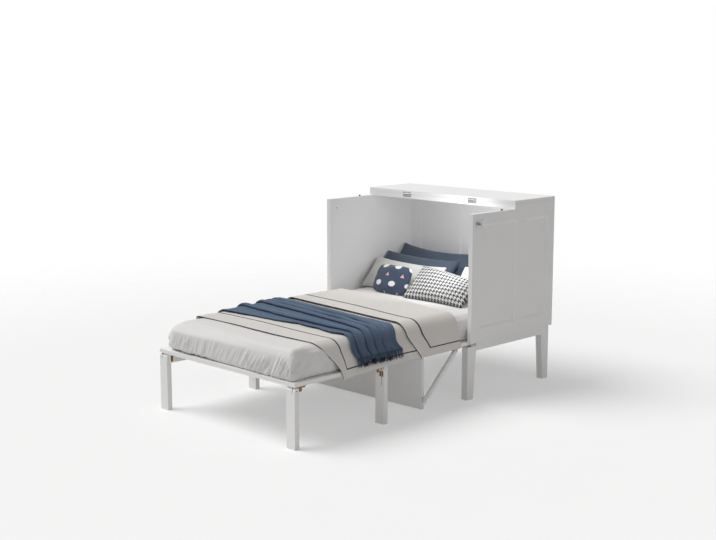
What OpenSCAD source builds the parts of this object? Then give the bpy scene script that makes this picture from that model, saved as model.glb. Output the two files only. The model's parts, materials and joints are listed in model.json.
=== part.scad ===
// Cabinet bed. A low cabinet opens at the front and unfolds into a single bed.
// Right is +X, the head of the bed is +Y and up is +Z. The origin is on the floor, below the box's middle.

/* [Cabinet] */
// Width over the two side panels
cabinet_w = 1086; // [1060:2:1140]
// Depth of the side panels
cabinet_d = 710; // [700:5:800]
// Thickness of a side panel
side_t = 26; // [22:1:30]
// Height of the side panels' lower edge
side_z = 312; // [308:1:320]
// Height of the side panels' upper edge
side_top = 995; // [990:1:1060]
// Depth of the fixed rear top
rear_top_d = 355; // [300:5:355]
// Thickness of the hinged front leaf
leaf_t = 18; // [14:1:22]
// Space under the closed front leaf
leaf_seat = 8; // [6:0.5:12]
// Width of the front stile of a side panel
front_stile = 60; // [40:1:80]
// Width of the stile between a side panel's two fields
mid_stile = 76; // [50:1:90]
// Width of a side panel's rear stile
rear_stile = 58; // [40:1:80]
// Length of the front field of a side panel
front_field = 314; // [250:2:340]
// Height of a side panel's top rail
top_rail = 58; // [40:1:80]
// Height of a side panel's bottom rail
bottom_rail = 72; // [50:1:90]
// Depth of the sunk fields
field_depth = 7; // [3:0.5:10]
// Width of the sloped edge round a sunk field
field_slope = 11; // [7:1:14]
// Thickness of the back panel
back_t = 18; // [12:1:20]

/* [Base] */
// Distance of the base behind the side panels' outer faces
base_inset = 22; // [16:1:24]
// Thickness of a base leg along X
base_leg_x = 38; // [30:1:44]
// Depth of a base leg at its top
base_leg_y = 68; // [60:1:76]
// Depth of a base leg at the floor
base_foot_y = 48; // [36:1:56]
// Height of the aprons' lower edge
apron_z = 262; // [250:1:275]
// Thickness of the aprons
apron_t = 18; // [15:1:22]
// Thickness of the leg glides
glide_t = 3; // [2:0.5:5]

/* [Bed deck] */
// Height of the deck's upper face
deck_z = 318; // [318:1:330]
// Thickness of the deck frames
frame_t = 20; // [18:1:24]
// Width of the frame rails
rail_w = 58; // [50:1:64]
// Length of the foot section
foot_l = 622; // [600:1:630]
// Length of the middle section in front of the cabinet
mid_reach = 602; // [600:1:630]
// Clearance between the sections and the side panels
side_gap = 4; // [2:0.5:8]
// Thickness of the slats
slat_t = 18; // [12:1:18]
// Width of the slats
slat_w = 70; // [50:1:80]
// Thickness of the front panel under the middle section
front_t = 18; // [12:1:20]
// How far the front panel reaches past the hinge of the sections
front_lap = 38; // [10:1:40]

/* [Folding legs] */
// Width of a folding leg along X
leg_x = 58; // [44:1:60]
// Thickness of a folding leg along Y
leg_y = 27; // [22:1:30]
// Distance of a leg's pivot below the deck frame
leg_drop = 18; // [17:0.5:24]
// Reach of a leg bracket's arm from the pivot
arm_reach = 68; // [60:1:120]
// Thickness of a bracket's plate
plate_t = 4; // [3:0.5:6]

/* [Support panel and struts] */
// Distance of the support panel's rear face from the hinge of the sections
support_at = 298; // [280:1:310]
// Thickness of the support panel
support_t = 18; // [15:1:22]
// Space between the support panel and the floor
floor_gap = 11; // [6:1:20]
// Side of a strut's square bar
strut_s = 18; // [14:1:20]
// Distance of a strut's pivot in front of the cabinet
strut_at = 77; // [60:1:90]
// Height of the stud that a strut hooks over
stud_z = 64; // [50:1:90]

/* [Bedding] */
// Thickness of the mattress
mattress_t = 150; // [100:5:180]
// Clearance between the mattress and the side panels
mattress_side = 25; // [10:1:60]
// Thickness of the quilt
quilt_t = 6; // [3:0.5:8]
// Distance of the quilt's foot edge from the foot of the bed
quilt_start = 175; // [150:5:380]
// Distance of the quilt's head edge in front of the cabinet
quilt_short = 74; // [50:2:150]
// Height of the quilt's hem
hem_z = 296; // [270:1:310]
// Thickness of the throw
throw_t = 5; // [3:0.5:8]
// Distance of the throw's foot edge from the foot of the bed
throw_start = 405; // [390:5:450]
// Width of the folded throw
throw_w = 400; // [320:5:420]

/* [Hidden] */
$fn = 48;

white = [0.93, 0.93, 0.92];
steel = [0.62, 0.63, 0.65];
brass = [0.80, 0.56, 0.20];
nylon = [0.25, 0.25, 0.26];
sheet_white = [0.90, 0.89, 0.86];
quilt_beige = [0.77, 0.74, 0.69];
throw_blue = [0.20, 0.33, 0.48];
slate = [0.22, 0.28, 0.37];
navy = [0.12, 0.17, 0.27];
check_grey = [0.55, 0.55, 0.56];

// Small clearances: a running fit, a face that must not touch, and a soft face near a hard one.
run_fit = 0.05;
air = 0.3;
soft_air = 0.3;
cut = 1;

// Half widths, from the outside in.
half_w = cabinet_w / 2;
side_in = half_w - side_t;
base_out = half_w - base_inset;
base_in = base_out - apron_t;
deck_out = side_in - side_gap;
deck_in = deck_out - rail_w;
front_half = deck_out - rail_w - 5;
support_half = deck_out - 27;

// Heights of the deck, from the top down.
frame_z = deck_z - frame_t;
front_z = frame_z - front_t;
slat_z = deck_z - slat_t;
pivot_z = deck_z - 14;
support_r = 2.5;
support_axis_z = front_z - support_r - 0.2;
support_fold_z = support_axis_z - support_r - 0.2 - support_t;

// Places along the bed, from the foot.
hinge_y = foot_l;
cab_y = foot_l + mid_reach;
rear_y = cab_y + cabinet_d;
pivot_y = cab_y + 2 + pivot_z - support_fold_z;
pivot_end = 10;
mid_end = pivot_y + pivot_end;
base_y = cab_y + base_leg_y;
split_y = rear_y - rear_top_d;
rail_gap = 1;

// The hinge between the foot and middle sections.
section_r = 3.2;
section_z = deck_z + 1;
section_hinge_w = 70;
section_plate_l = 28;
section_plate_t = 1.5;
section_hinge_x = [-330, 0, 330];

// The closed front leaf lies level with the rear top, so the top is thicker by the space under the leaf.
rear_top_t = leaf_t + leaf_seat;
leaf_gap = 0.6;
lid_r = 3.2;
lid_y = split_y - 1.5;
slab_top = side_top + rear_top_t;
lid_z = slab_top + leaf_gap / 2;
lid_hinge_w = 60;
lid_hinge_x = 244;
lid_plate_h = 14;

// The hinge of the support panel.
support_y = hinge_y + support_at;
support_axis_y = support_y + support_r + 0.2;
support_top = front_z - 4;
support_hinge_w = 60;
support_hinge_x = 290;

// Legs, brackets and pins.
leg_pivot_z = frame_z - leg_drop;
leg_top_r = leg_y / 2;
pin_r = 3;
ear_x = deck_out - 17;
ear_r = 10;
arm_h = 13;
hook_y = [32, 46];
hook_drop = 11;
groove_w = plate_t + 1;
strap_w = 8;
strap_t = 3;
strap_top = leg_pivot_z - 10;
strap_l = 26;
foot_leg_y = leg_y / 2;
mid_leg_y = hinge_y - 2 - leg_y / 2;

// Struts and their studs.
strut_y = cab_y - strut_at;
strut_z = frame_z - 4 - strut_s / 2;
stud_y = support_y - support_t / 2;
stud_r = 4;
strut_l = norm([strut_y - stud_y, strut_z - stud_z]);
strut_angle = atan2(strut_z - stud_z, strut_y - stud_y);
strut_x0 = support_half + 7;

// Pivot bolts of the middle section and the latch bolts.
pivot_r = 4;
pivot_head_r = 7;
pivot_plate_t = 3.2;
bolt_r = 4;
bolt_y = pivot_y + 4;
bolt_z = side_top - 53;
bolt_travel = 10;
bolt_hole_y = pivot_y - (bolt_z - pivot_z);
housing_t = 2;
barrel_l = 5;

// Pieces of the base and deck in the cabinet.
deck_cleat = 20;
side_cleat_h = 30;
head_slat_count = 6;
mid_slat_count = 6;
foot_slat_count = 5;
ledger_t = 18;
ledger_h = 45;
ledger_in = deck_in - 1 - ledger_t;
ledger_y = 10;
ledger_end = 200;

// Bedding.
bed_z = deck_z + soft_air;
mattress_half = side_in - mattress_side;
mattress_w = 2 * mattress_half;
mattress_top = bed_z + mattress_t;
mattress_foot_y = 8;
mattress_gap = 2;
head_soft_y = base_y + 2;

module at_foot() { translate([0, -rear_y / 2, 0]) children(); }

module both_sides() {
    children();
    mirror([1, 0, 0]) children();
}

// A block between two corners.
module block(low, high) { translate(low) cube(high - low); }

// A round bar along X from one place to another.
module bar_x(r, x0, x1, y, z) { translate([x0, y, z]) rotate([0, 90, 0]) cylinder(r = r, h = x1 - x0); }

// A flat shape drawn in Y and Z, as thick as given along X.
module slab_x(x0, x1) { translate([x0, 0, 0]) rotate([90, 0, 90]) linear_extrude(x1 - x0) children(); }

// Evenly spaced slats between two places along the bed.
module slats(count, y0, y1, half, z) {
    gap = (y1 - y0 - count * slat_w) / (count + 1);
    for (i = [0 : count - 1]) {
        y = y0 + gap + i * (slat_w + gap);
        block([-half, y, z], [half, y + slat_w, z + slat_t]);
    }
}

// A hinge's fixed half has the middle knuckle and the pin, and its other half has the two end knuckles.
module fixed_knuckle(w, r) {
    rotate([0, 90, 0]) cylinder(r = r, h = w / 3 - 2 * air, center = true);
    rotate([0, 90, 0]) cylinder(r = r / 3, h = w, center = true);
}

module moving_knuckles(w, r) {
    difference() {
        union() {
            rotate([0, 90, 0]) cylinder(r = r, h = w, center = true);
            children();
        }
        rotate([0, 90, 0]) cylinder(r = r / 3 + run_fit, h = w + cut, center = true);
        cube([w / 3 + air, 4 * r, 4 * r], center = true);
    }
}

// Across one direction, a sunk field is a trapezium that narrows towards its floor.
function field_section(from, to) =
    let (out = cut * field_slope / field_depth)
    [[half_w + cut, from - out], [half_w + cut, to + out],
     [half_w - field_depth, to - field_slope], [half_w - field_depth, from + field_slope]];

module sunk_field(y0, y1, z0, z1) {
    intersection() {
        translate([0, 0, z0 - field_slope]) linear_extrude(z1 - z0 + 2 * field_slope)
            polygon(field_section(y0, y1));
        translate([0, y1 + field_slope, 0]) rotate([90, 0, 0]) linear_extrude(y1 - y0 + 2 * field_slope)
            polygon(field_section(z0, z1));
    }
}

module side_board() {
    z0 = side_z + bottom_rail;
    z1 = side_top - top_rail;
    field_end = cab_y + front_stile + front_field;
    color(white)
    difference() {
        block([side_in, cab_y, side_z], [half_w, rear_y, side_top]);
        sunk_field(cab_y + front_stile, field_end, z0, z1);
        sunk_field(field_end + mid_stile, rear_y - rear_stile, z0, z1);
        bar_x(bolt_r + run_fit, side_in - cut, half_w + cut, bolt_y, bolt_z);
    }
}

module left_side() { at_foot() mirror([1, 0, 0]) side_board(); }

module right_side() { at_foot() side_board(); }

// The back has three sunk fields on its inner face, between stiles that line up with the rails of the sides.
module back_panel() {
    back_y = rear_y - 2 - back_t;
    stile_w = 80;
    pitch = (2 * side_in - 4 * stile_w) / 3 + stile_w;
    color(white) at_foot()
    difference() {
        block([-side_in, back_y, side_z], [side_in, back_y + back_t, side_top]);
        for (i = [0 : 2]) {
            x = -side_in + stile_w + i * pitch;
            block([x, back_y - cut, side_z + bottom_rail],
                  [x + pitch - stile_w, back_y + field_depth / 2, side_top - top_rail]);
        }
    }
}

// The top's edge is cut back round each hinge's knuckles.
module lid_knuckle_room() {
    for (x = [-lid_hinge_x, lid_hinge_x])
        bar_x(lid_r + air, x - lid_hinge_w / 2 - air, x + lid_hinge_w / 2 + air, lid_y, lid_z);
}

module rear_top() {
    color(white) at_foot()
    difference() {
        block([-half_w, split_y, side_top], [half_w, rear_y, slab_top]);
        lid_knuckle_room();
    }
}

module front_apron() {
    color(white) at_foot()
        block([-base_in, base_y, apron_z], [base_in, base_y + apron_t, slat_z]);
}

module rear_apron() {
    color(white) at_foot()
        block([-(base_out - base_leg_x), rear_y - 2 - back_t, apron_z],
              [base_out - base_leg_x, rear_y - 2 - back_t + apron_t, side_z]);
}

module side_aprons() {
    color(white) at_foot() both_sides()
        block([base_in, base_y, apron_z], [base_out, rear_y - base_leg_y, side_z]);
}

// A base leg is upright on its outer side and tapers on the side towards the other leg.
module base_leg(top) {
    slab_x(base_out - base_leg_x, base_out)
        polygon([[0, glide_t], [base_foot_y, glide_t], [base_leg_y, apron_z], [base_leg_y, top], [0, top]]);
}

front_leg_top = pivot_z - norm([pivot_end, pivot_z - frame_z]) - 4;

module front_base_legs() {
    color(white) at_foot() both_sides() translate([0, cab_y, 0]) base_leg(front_leg_top);
}

module rear_base_legs() {
    color(white) at_foot() both_sides() translate([0, rear_y, 0]) mirror([0, 1, 0]) base_leg(side_z);
}

module base_glides() {
    glide_r = 12;
    color(nylon) at_foot() both_sides()
        for (y = [cab_y + base_foot_y / 2, rear_y - base_foot_y / 2])
            translate([base_out - base_leg_x / 2, y, 0]) cylinder(r = glide_r, h = glide_t);
}

// Two cleats carry the slats in the cabinet, and two fasten the side panels to the base.
module cleats() {
    color(white) at_foot() both_sides() {
        block([base_in - deck_cleat, base_y + apron_t, slat_z - deck_cleat],
              [base_in, rear_y - base_leg_y, slat_z]);
        block([side_in - apron_t, base_y + 2 * base_leg_y, side_z],
              [side_in, rear_y - base_leg_y, side_z + side_cleat_h]);
    }
}

module head_slats() {
    color(white) at_foot()
        slats(head_slat_count, base_y, rear_y - base_leg_y, base_in - 5, slat_z);
}

module pivot_brackets() {
    color(steel) at_foot() both_sides()
    difference() {
        block([side_in - pivot_plate_t, pivot_y - 18, front_leg_top], [side_in, pivot_y + 18, side_z + 40]);
        bar_x(pivot_r + run_fit / 2, side_in - pivot_plate_t - cut, side_in + cut, pivot_y, pivot_z);
    }
}

module pivot_bolts() {
    color(steel) at_foot() both_sides() {
        bar_x(pivot_r, deck_in + 8, side_in + cut, pivot_y, pivot_z);
        bar_x(pivot_head_r, side_in, side_in + 5, pivot_y, pivot_z);
    }
}

module lid_hinge_plates() {
    color(steel) at_foot()
    for (x = [-lid_hinge_x, lid_hinge_x]) {
        translate([x, lid_y, lid_z]) fixed_knuckle(lid_hinge_w, lid_r);
        block([x - lid_hinge_w / 6 + air, lid_y + 0.1, slab_top - lid_r - lid_plate_h],
              [x + lid_hinge_w / 6 - air, split_y, slab_top - lid_r / 3]);
        block([x - lid_hinge_w / 2, lid_y + 0.1, slab_top - lid_r - lid_plate_h],
              [x + lid_hinge_w / 2, split_y, slab_top - lid_r - 1]);
    }
}

module lid_hinge_flaps() {
    color(steel) at_foot()
    for (x = [-lid_hinge_x, lid_hinge_x])
        translate([x, lid_y, lid_z]) moving_knuckles(lid_hinge_w, lid_r) {
            block([-lid_hinge_w / 2, 0.1, 0], [lid_hinge_w / 2, split_y - lid_y, lid_r + 2.5 * lid_r]);
        }
}

module lid_bumpers() {
    bumper_r = 5;
    color(nylon) at_foot() both_sides()
        translate([half_w - side_t / 2, split_y - 100, side_top]) cylinder(r = bumper_r, h = leaf_seat - air);
}

module bolt_housings() {
    color(steel) at_foot() both_sides()
    difference() {
        union() {
            block([half_w, bolt_y - 30, bolt_z - 19], [half_w + housing_t, bolt_y + 30, bolt_z + 19]);
            bar_x(2 * bolt_r, half_w, half_w + housing_t + barrel_l, bolt_y, bolt_z);
        }
        bar_x(bolt_r + run_fit, half_w - cut, half_w + housing_t + barrel_l + cut, bolt_y, bolt_z);
    }
}

module latch_bolt() {
    knob_x = half_w + housing_t + barrel_l + bolt_travel;
    color(steel) {
        bar_x(bolt_r, side_in + 0.2, knob_x + cut, bolt_y, bolt_z);
        bar_x(2 * bolt_r + 1, knob_x, knob_x + 5, bolt_y, bolt_z);
    }
}

module left_bolt() { at_foot() mirror([1, 0, 0]) latch_bolt(); }

module right_bolt() { at_foot() latch_bolt(); }

leaf_d = rear_y - split_y;

module front_leaf() {
    color(white) at_foot()
    difference() {
        block([-half_w, split_y, slab_top + leaf_gap],
              [half_w, split_y + leaf_d, slab_top + leaf_gap + leaf_t]);
        lid_knuckle_room();
    }
}

// Room in the end rails for the plates and knuckles of the hinge between the sections.
module section_hinge_room(y0, y1) {
    half = section_hinge_w / 2 + air;
    for (x = section_hinge_x) {
        block([x - half, y0, deck_z - section_plate_t - 0.1], [x + half, y1, deck_z + cut]);
        bar_x(section_r + air, x - half, x + half, hinge_y, section_z);
    }
}

module mid_side_rails() {
    color(white) at_foot() both_sides()
    difference() {
        block([deck_in, hinge_y + rail_gap, frame_z], [deck_out, mid_end, deck_z]);
        bar_x(pivot_r + run_fit, deck_in - cut, deck_out + cut, pivot_y, pivot_z);
        bar_x(bolt_r + 0.6, deck_out - 13, deck_out + cut, bolt_hole_y, pivot_z + bolt_y - pivot_y);
    }
}

module mid_end_rails() {
    color(white) at_foot() {
        difference() {
            block([-deck_in, hinge_y + rail_gap, frame_z], [deck_in, hinge_y + rail_gap + rail_w, deck_z]);
            section_hinge_room(hinge_y, hinge_y + section_plate_l + air);
        }
        block([-deck_in, mid_end - rail_w, frame_z], [deck_in, mid_end, deck_z]);
    }
}

module mid_slats() {
    color(white) at_foot()
        slats(mid_slat_count, hinge_y + rail_gap + rail_w, mid_end - rail_w, deck_in, slat_z);
}

// The panel under the middle section is the front of the closed cabinet.
module front_panel() {
    color(white) at_foot() {
        block([-front_half, hinge_y, front_z], [front_half, pivot_y - 6, frame_z]);
        block([-front_half, hinge_y - front_lap, front_z], [front_half, hinge_y, frame_z - air]);
    }
}

module strut_brackets() {
    color(steel) at_foot() both_sides() {
        block([strut_x0 - 4, strut_y - 15, strut_z - strut_s / 2 - 2], [strut_x0 - 1, strut_y + 15, frame_z]);
        bar_x(pin_r, strut_x0 - 6, strut_x0 + strut_s + 1, strut_y, strut_z);
        bar_x(pin_r + 2, strut_x0 + strut_s + 0.4, strut_x0 + strut_s + 1.8, strut_y, strut_z);
    }
}

module section_hinge_plates() {
    color(steel) at_foot()
    for (x = section_hinge_x) {
        translate([x, hinge_y, section_z]) fixed_knuckle(section_hinge_w, section_r);
        block([x - section_hinge_w / 6 + air, hinge_y, deck_z - section_plate_t],
              [x + section_hinge_w / 6 - air, hinge_y + 6, deck_z]);
        block([x - section_hinge_w / 2, hinge_y + section_r + 2 * air, deck_z - section_plate_t],
              [x + section_hinge_w / 2, hinge_y + section_plate_l, deck_z]);
    }
}

module section_hinge_flaps() {
    color(steel) at_foot()
    for (x = section_hinge_x)
        translate([x, hinge_y, section_z]) moving_knuckles(section_hinge_w, section_r) {
            block([-section_hinge_w / 2, -section_plate_l, deck_z - section_plate_t - section_z],
                  [section_hinge_w / 2, 0, deck_z - section_z]);
        }
}

module support_hinge_plates() {
    plate_t_fixed = 1.2;
    color(steel) at_foot()
    for (x = [-support_hinge_x, support_hinge_x]) {
        translate([x, support_axis_y, support_axis_z]) fixed_knuckle(support_hinge_w, support_r);
        block([x - support_hinge_w / 6 + air, support_axis_y, front_z - plate_t_fixed],
              [x + support_hinge_w / 6 - air, support_axis_y + 6, front_z]);
        block([x - support_hinge_w / 2, support_axis_y + support_r + 2 * air, front_z - plate_t_fixed],
              [x + support_hinge_w / 2, support_axis_y + 26, front_z]);
    }
}

module support_panel() {
    color(white) at_foot()
        block([-support_half, support_y - support_t, floor_gap], [support_half, support_y, support_top]);
}

// Hinge flaps and strut studs of the support panel.
module support_fittings() {
    flap_t = 1.2;
    color(steel) at_foot() {
        for (x = [-support_hinge_x, support_hinge_x])
            translate([x, support_axis_y, support_axis_z]) moving_knuckles(support_hinge_w, support_r) {
                block([-support_hinge_w / 2, support_y - support_axis_y, -36],
                      [support_hinge_w / 2, support_y - support_axis_y + flap_t, 0]);
            }
        both_sides() {
            bar_x(stud_r, support_half, strut_x0 + strut_s, stud_y, stud_z);
            bar_x(2 * stud_r, support_half, support_half + 1.5, stud_y, stud_z);
        }
    }
}

// The strut lies along -Y from its pivot when folded. Its notch is open below and towards the pivot.
module strut_bar() {
    tip = 16;
    notch_r = stud_r + 0.5;
    color(white)
    translate([0, strut_y, strut_z]) rotate([strut_angle, 0, 0])
    difference() {
        union() {
            block([strut_x0, -strut_l - tip, -strut_s / 2], [strut_x0 + strut_s, 0, strut_s / 2]);
            bar_x(strut_s / 2, strut_x0, strut_x0 + strut_s, 0, 0);
        }
        bar_x(pin_r + run_fit, strut_x0 - cut, strut_x0 + strut_s + cut, 0, 0);
        bar_x(notch_r, strut_x0 - cut, strut_x0 + strut_s + cut, -strut_l, 0);
        slab_x(strut_x0 - cut, strut_x0 + strut_s + cut)
            polygon([[-strut_l - notch_r, 0], [-strut_l - notch_r, -strut_s],
                     [-strut_l + 24, -strut_s], [-strut_l + notch_r * 0.8, notch_r * 0.6]]);
    }
}

module left_strut() { at_foot() mirror([1, 0, 0]) strut_bar(); }

module right_strut() { at_foot() strut_bar(); }

module foot_side_rails() {
    color(white) at_foot() both_sides()
        block([deck_in, 0, frame_z], [deck_out, hinge_y - rail_gap, deck_z]);
}

module foot_end_rails() {
    color(white) at_foot() {
        block([-deck_in, 0, frame_z], [deck_in, rail_w, deck_z]);
        difference() {
            block([-deck_in, hinge_y - rail_gap - rail_w, frame_z], [deck_in, hinge_y - rail_gap, deck_z]);
            section_hinge_room(hinge_y - section_plate_l - air, hinge_y);
        }
    }
}

module foot_slats() {
    color(white) at_foot()
        slats(foot_slat_count, rail_w, hinge_y - rail_gap - rail_w, deck_in, slat_z);
}

module foot_ledgers() {
    color(white) at_foot() mirror([1, 0, 0])
        block([ledger_in, ledger_y, frame_z - ledger_h], [ledger_in + ledger_t, ledger_end, frame_z]);
}

// Puts a piece drawn for the foot right leg, with its pivot over Y 0, at any of the four legs.
module at_leg(side, end) {
    at_foot() translate([0, end > 0 ? mid_leg_y : foot_leg_y, 0])
        mirror([side < 0 ? 1 : 0, 0, 0]) mirror([0, end > 0 ? 1 : 0, 0]) children();
}

leg_places = [[-1, -1], [1, -1], [-1, 1], [1, 1]];

module folding_leg(side, end) {
    color(white) at_leg(side, end)
    difference() {
        slab_x(deck_out - leg_x, deck_out) {
            translate([-leg_y / 2, 0]) square([leg_y, leg_pivot_z]);
            translate([0, leg_pivot_z]) circle(r = leg_top_r);
        }
        bar_x(pin_r + run_fit, deck_out - leg_x - cut, deck_out + cut, 0, leg_pivot_z);
        block([ear_x - groove_w / 2, -leg_y, leg_pivot_z - ear_r - 2],
              [ear_x + groove_w / 2, leg_y, frame_z]);
        block([ear_x - groove_w / 2, leg_drop - arm_h - 0.8, leg_pivot_z - arm_reach - 12],
              [ear_x + groove_w / 2, leg_y, frame_z]);
        block([ear_x - groove_w / 2, -hook_drop - 0.6, leg_pivot_z - hook_y[1] - 4],
              [ear_x + groove_w / 2, leg_y, frame_z]);
    }
}

module leg_straps(side, end) {
    color(brass) at_leg(side, end)
    for (x = [ear_x - groove_w / 2 - 1 - strap_w, ear_x + groove_w / 2 + 1]) {
        block([x, leg_y / 2, strap_top - strap_l], [x + strap_w, leg_y / 2 + strap_t, strap_top]);
        for (z = [strap_top - 9, strap_top - strap_l + 9])
            translate([x + strap_w / 2, leg_y / 2 + strap_t - cut, z]) rotate([-90, 0, 0])
                cylinder(r = 2.6, h = cut + 0.7);
    }
}

// A bracket has an ear in the leg's groove, an arm with a hook under the deck frame, and a plate at its end.
// One more L-shaped plate ties the ledger to the frame.
module leg_brackets() {
    plate_l = 30;
    plate_w = 24;
    color(brass) at_foot() mirror([1, 0, 0]) slab_x(ledger_in - air - strap_t, ledger_in - air)
        translate([ledger_y, frame_z]) polygon([[0, -1], [45, -1], [45, -12], [13, -12], [13, -38], [0, -38]]);
    color(brass)
    for (place = leg_places) at_leg(place[0], place[1]) {
        difference() {
            slab_x(ear_x - plate_t / 2, ear_x + plate_t / 2) {
                translate([0, leg_pivot_z]) circle(r = ear_r);
                polygon([[-ear_r, leg_pivot_z], [-ear_r, frame_z],
                         [arm_reach, frame_z], [arm_reach, frame_z - arm_h],
                         [hook_y[1], frame_z - arm_h], [hook_y[1], leg_pivot_z - hook_drop],
                         [hook_y[0], leg_pivot_z - hook_drop], [hook_y[0], frame_z - arm_h],
                         [0.7 * ear_r, frame_z - arm_h], [0.7 * ear_r, leg_pivot_z]]);
            }
            bar_x(pin_r + run_fit / 2, ear_x - plate_t, ear_x + plate_t, 0, leg_pivot_z);
        }
        block([ear_x - plate_w / 2, arm_reach - plate_l, frame_z - strap_t],
              [ear_x + plate_w / 2, arm_reach, frame_z]);
    }
}

module leg_pins() {
    color(brass)
    for (place = leg_places) at_leg(place[0], place[1])
        bar_x(pin_r, deck_out - leg_x + 1, deck_out - 1, 0, leg_pivot_z);
}

module foot_left_leg() { folding_leg(-1, -1); }

module foot_right_leg() { folding_leg(1, -1); }

module mid_left_leg() { folding_leg(-1, 1); }

module mid_right_leg() { folding_leg(1, 1); }

module foot_left_straps() { leg_straps(-1, -1); }

module foot_right_straps() { leg_straps(1, -1); }

module mid_left_straps() { leg_straps(-1, 1); }

module mid_right_straps() { leg_straps(1, 1); }

function signed_power(v, p) = sign(v) * pow(abs(v), p);

// A padded block: rounded edges, a slight crown, and rings of points from its bottom to its top.
ring_angles = [-81, -63, -42, -14, 14, 42, 63, 81, 89];

module padded_block(low, high, square_x, square_z, crown) {
    around = 40;
    rings = len(ring_angles) - 1;
    half = (high - low) / 2;
    mid = (high + low) / 2;
    points = [
        for (j = [0 : rings]) for (i = [0 : around - 1])
            let (v = ring_angles[j], u = 360 * i / around,
                 flat = signed_power(cos(v), square_z),
                 x = signed_power(cos(u), square_x) * flat, y = signed_power(sin(u), square_x) * flat,
                 z = signed_power(sin(v), square_z),
                 drop = z > 0 ? crown * (1 - (1 - pow(x, 4)) * (1 - pow(y, 4))) : 0)
            mid + [half[0] * x, half[1] * y, half[2] * z - drop]
    ];
    sides = [
        for (j = [0 : rings - 1]) for (i = [0 : around - 1])
            let (a = j * around + i, b = j * around + (i + 1) % around)
            each [[a, b + around, b], [a, a + around, b + around]]
    ];
    bottom = [for (i = [1 : around - 2]) [0, i, i + 1]];
    top = [for (i = [1 : around - 2]) [rings * around, rings * around + i + 1, rings * around + i]];
    polyhedron(points, concat(sides, bottom, top));
}

module mattress_part(y0, y1) {
    color(sheet_white) at_foot()
        padded_block([-mattress_half, y0, bed_z], [mattress_half, y1, mattress_top], 0.12, 0.22, 1);
}

module mattress_foot() { mattress_part(mattress_foot_y, hinge_y - mattress_gap); }

module mattress_mid() { mattress_part(hinge_y + mattress_gap, head_soft_y - 2 * mattress_gap); }

module mattress_head() { mattress_part(head_soft_y, rear_y - back_t - 4); }

// Half of the line that bedding follows over the mattress: [distance from the middle, height].
drape_z = mattress_top + soft_air;
drape_out = deck_out + 1;
drape_line = [
    [0, drape_z], [mattress_half * 0.55, drape_z], [mattress_half - 34, drape_z - 0.5],
    [mattress_half - 8, drape_z - 5], [mattress_half + 4, drape_z - 24], [mattress_half + 9, drape_z - 70],
    [drape_out, deck_z + 12], [drape_out + 1, hem_z]
];

// Directions that point away from the mattress at each of those points.
function drape_out_at(i) =
    let (a = drape_line[max(i - 1, 0)], b = drape_line[min(i + 1, len(drape_line) - 1)], d = b - a)
    [-d[1], d[0]] / norm(d);

// The whole line from the left hem to the right, moved outwards by a distance that may change with the point.
function drape_points(low, rise, ease, y) = [
    for (k = [-(len(drape_line) - 1) : len(drape_line) - 1])
        let (i = abs(k), n = drape_out_at(i), lift = low + drape_side(i) * (ease + rise * drape_wave(k, y)),
             p = drape_line[i] + n * lift)
        [(k < 0 ? -1 : 1) * p[0], p[1]]
];

// The folds grow from nothing on the top to their full depth at the hem.
fold_depth = 3;
fold_pitch = 130;
function drape_side(i) = pow(i / (len(drape_line) - 1), 3);
function drape_wave(k, y) = 1 + sin(360 * y / fold_pitch + (k < 0 ? 90 : 0));

// A cloth of even thickness laid across the bed, from one place along it to another.
module laid_cloth(y0, y1, steps, low, thick, pleat) {
    lines = 2 * len(drape_line) - 1;
    function level(y) = pleat * abs(sin(180 * (y - throw_start) / throw_pitch));
    function row(y, offset) = [
        for (p = drape_points(low + offset + level(y), fold_depth, pleat / 8, y)) [p[0], y, p[1]]
    ];
    ys = [for (s = [0 : steps]) y0 + (y1 - y0) * s / steps];
    points = [for (y = ys) each concat(row(y, 0), row(y, thick))];
    ring = 2 * lines;
    function at(s, i) = s * ring + (i < lines ? i : ring - 1 - (i - lines));
    sides = [
        for (s = [0 : steps - 1]) for (i = [0 : ring - 1])
            let (j = (i + 1) % ring)
            each [[at(s, i), at(s, j), at(s + 1, j)], [at(s, i), at(s + 1, j), at(s + 1, i)]]
    ];
    caps = [
        for (i = [0 : lines - 2])
            each [[i, i + lines, i + lines + 1], [i, i + lines + 1, i + 1],
                  [steps * ring + i, steps * ring + i + lines + 1, steps * ring + i + lines],
                  [steps * ring + i, steps * ring + i + 1, steps * ring + i + lines + 1]]
    ];
    polyhedron(points, concat(sides, caps));
}

// The throw follows the quilt's folds a little way outside them.
quilt_end = cab_y - quilt_short;
throw_low = quilt_t + 0.1;
throw_fold = 6;
throw_pitch = throw_w / 7;

module quilt_foot() {
    color(quilt_beige) at_foot()
        laid_cloth(quilt_start, hinge_y - mattress_gap, 10, 0, quilt_t, 0);
}

module quilt_mid() {
    color(quilt_beige) at_foot()
        laid_cloth(hinge_y + mattress_gap, quilt_end, 16, 0, quilt_t, 0);
}

module throw_foot() {
    color(throw_blue) at_foot()
        laid_cloth(throw_start, hinge_y - mattress_gap, 16, throw_low, throw_t, throw_fold);
}

module throw_mid() {
    color(throw_blue) at_foot()
        laid_cloth(hinge_y + mattress_gap, throw_start + throw_w, 8, throw_low, throw_t, throw_fold);
}

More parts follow.
